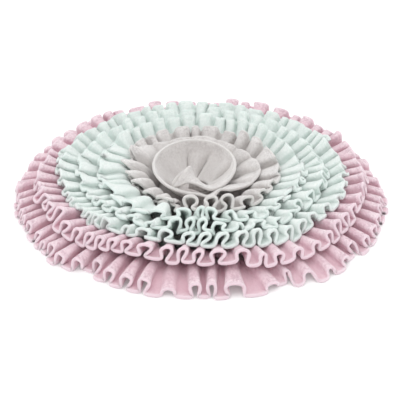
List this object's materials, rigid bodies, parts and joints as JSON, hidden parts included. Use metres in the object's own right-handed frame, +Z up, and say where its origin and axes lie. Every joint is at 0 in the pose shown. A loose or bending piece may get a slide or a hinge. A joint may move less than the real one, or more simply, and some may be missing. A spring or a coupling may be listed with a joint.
{
  "type": "snuffle mat",
  "caption": "Round snuffle mat of gathered fleece: ruffled rings in pink, mint and grey lean outwards over each other round a grey spiral rosette, on a flat cloth backing.",
  "frame": {"origin": "centre of the flat underside of the backing, on the surface the mat stands on", "axes": "+Z up, out of the ruffles; the front, where the folds close in most, is at -Y and +X is to the right seen from there"},
  "size_m": [0.3979, 0.3945, 0.0395],
  "materials": {
    "backing_cloth": "matt napped cloth",
    "pink_fleece": "matt napped fleece",
    "mint_fleece": "matt napped fleece",
    "grey_fleece": "matt napped fleece"
  },
  "bodies": {
    "root": {"backing": "backing_cloth", "pink_ruffle_1": "pink_fleece", "pink_ruffle_2": "pink_fleece", "mint_ruffle_1": "mint_fleece", "mint_ruffle_2": "mint_fleece", "mint_ruffle_3": "mint_fleece", "grey_ruffle": "grey_fleece", "grey_rosette": "grey_fleece"}
  },
  "joints": []
}
